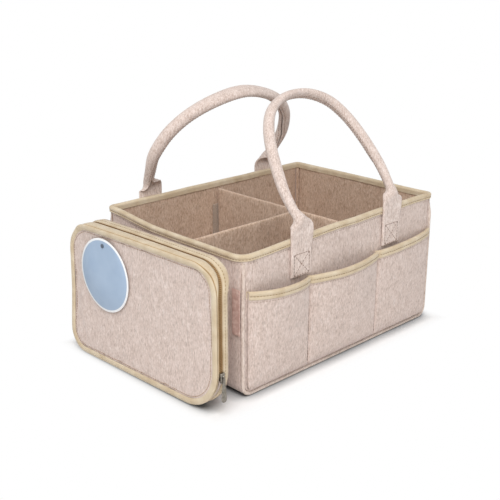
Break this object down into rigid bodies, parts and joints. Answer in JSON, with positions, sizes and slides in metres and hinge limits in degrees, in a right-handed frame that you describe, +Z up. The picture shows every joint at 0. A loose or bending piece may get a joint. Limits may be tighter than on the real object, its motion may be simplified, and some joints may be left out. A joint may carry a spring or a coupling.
{
  "type": "diaper caddy",
  "caption": "Open felt caddy with bound edges, outside pockets, lift-out dividers, two soft carry handles and a zip pouch held on one end.",
  "frame": {"origin": "centre of the base underside", "axes": "+Z up, +X along the length away from the pouch, -Y towards the front long side"},
  "size_m": [0.4165, 0.2915, 0.3334],
  "materials": {
    "felt": "needled melange felt, beige with rose and grey fibres",
    "handle_felt": "rolled melange felt",
    "lining_felt": "inner felt, slightly darker",
    "piping": "felt-covered piping",
    "binding_tape": "woven pale gold binding tape",
    "zip_tape": "woven zip tape with coil teeth",
    "hook_and_loop": "nylon hook-and-loop strip",
    "core": "soft cotton filler cord",
    "board": "felt-covered fibreboard",
    "label": "plain rose satin ribbon",
    "zip_metal": "antique nickel",
    "tag_card": "plain blue coated card with a white edge",
    "tag_pin": "slate plastic tag pin"
  },
  "bodies": {
    "caddy": {"base_panel": "felt", "base_board": "board", "front_panel": "felt", "back_panel": "felt", "left_end_panel": "felt", "right_end_panel": "felt", "front_edge_binding": "piping", "back_edge_binding": "piping", "rim_binding": "binding_tape", "front_pocket_panel": "felt", "back_pocket_panel": "felt", "front_pocket_binding": "binding_tape", "back_pocket_binding": "binding_tape", "front_left_handle_tab": "handle_felt", "front_right_handle_tab": "handle_felt", "back_left_handle_tab": "handle_felt", "back_right_handle_tab": "handle_felt", "side_label": "label", "upper_loop_strip": "hook_and_loop", "lower_loop_strip": "hook_and_loop"},
    "front_handle": {"front_handle_sleeve": "handle_felt", "front_handle_core": "core"},
    "back_handle": {"back_handle_sleeve": "handle_felt", "back_handle_core": "core"},
    "cross_divider": {"cross_divider_panel": "lining_felt", "cross_divider_front_strip": "hook_and_loop", "cross_divider_back_strip": "hook_and_loop"},
    "long_divider": {"long_divider_panel": "lining_felt", "long_divider_end_strip": "hook_and_loop", "long_divider_cross_strip": "hook_and_loop"},
    "pouch": {"pouch_back_panel": "felt", "pouch_back_binding": "binding_tape", "pouch_back_zip_tape": "zip_tape", "pouch_spine": "felt", "upper_hook_strip": "hook_and_loop", "lower_hook_strip": "hook_and_loop"},
    "pouch_front": {"pouch_front_panel": "felt", "pouch_front_binding": "binding_tape", "pouch_front_zip_tape": "zip_tape", "tag_pin": "tag_pin"},
    "zip_slider": {"zip_slider": "zip_metal"},
    "zip_pull": {"zip_pull": "zip_metal"},
    "swing_tag": {"swing_tag": "tag_card"}
  },
  "joints": [
    {"name": "front_handle_swing", "type": "hinge", "parent": "caddy", "child": "front_handle", "pos_m": [0, -0.1335, 0.19], "axis": [1, 0, 0], "range_deg": [-4, 180]},
    {"name": "back_handle_swing", "type": "hinge", "parent": "caddy", "child": "back_handle", "pos_m": [0, 0.1335, 0.19], "axis": [-1, 0, 0], "range_deg": [-10, 175]},
    {"name": "cross_divider_lift", "type": "slide", "parent": "caddy", "child": "cross_divider", "axis": [0, 0, 1], "range_m": [0, 0.11]},
    {"name": "long_divider_lift", "type": "slide", "parent": "caddy", "child": "long_divider", "axis": [0, 0, 1], "range_m": [0, 0.11]},
    {"name": "pouch_pull_off", "type": "slide", "parent": "caddy", "child": "pouch", "axis": [-1, 0, 0], "range_m": [0, 0.1]},
    {"name": "pouch_open", "type": "hinge", "parent": "pouch", "child": "pouch_front", "pos_m": [-0.2314, -0.0021, 0.0042], "axis": [0, -1, 0], "range_deg": [0, 85]},
    {"name": "zip_travel", "type": "slide", "parent": "pouch", "child": "zip_slider", "axis": [0, 0, 1], "range_m": [0, 0.09]},
    {"name": "zip_pull_swing", "type": "hinge", "parent": "zip_slider", "child": "zip_pull", "pos_m": [-0.22585, -0.1462, 0.049], "axis": [-1, 0, 0], "range_deg": [0, 150]},
    {"name": "tag_swing", "type": "hinge", "parent": "pouch_front", "child": "swing_tag", "pos_m": [-0.2334, 0.053, 0.159], "axis": [1, 0, 0], "range_deg": [-25, 25]}
  ]
}
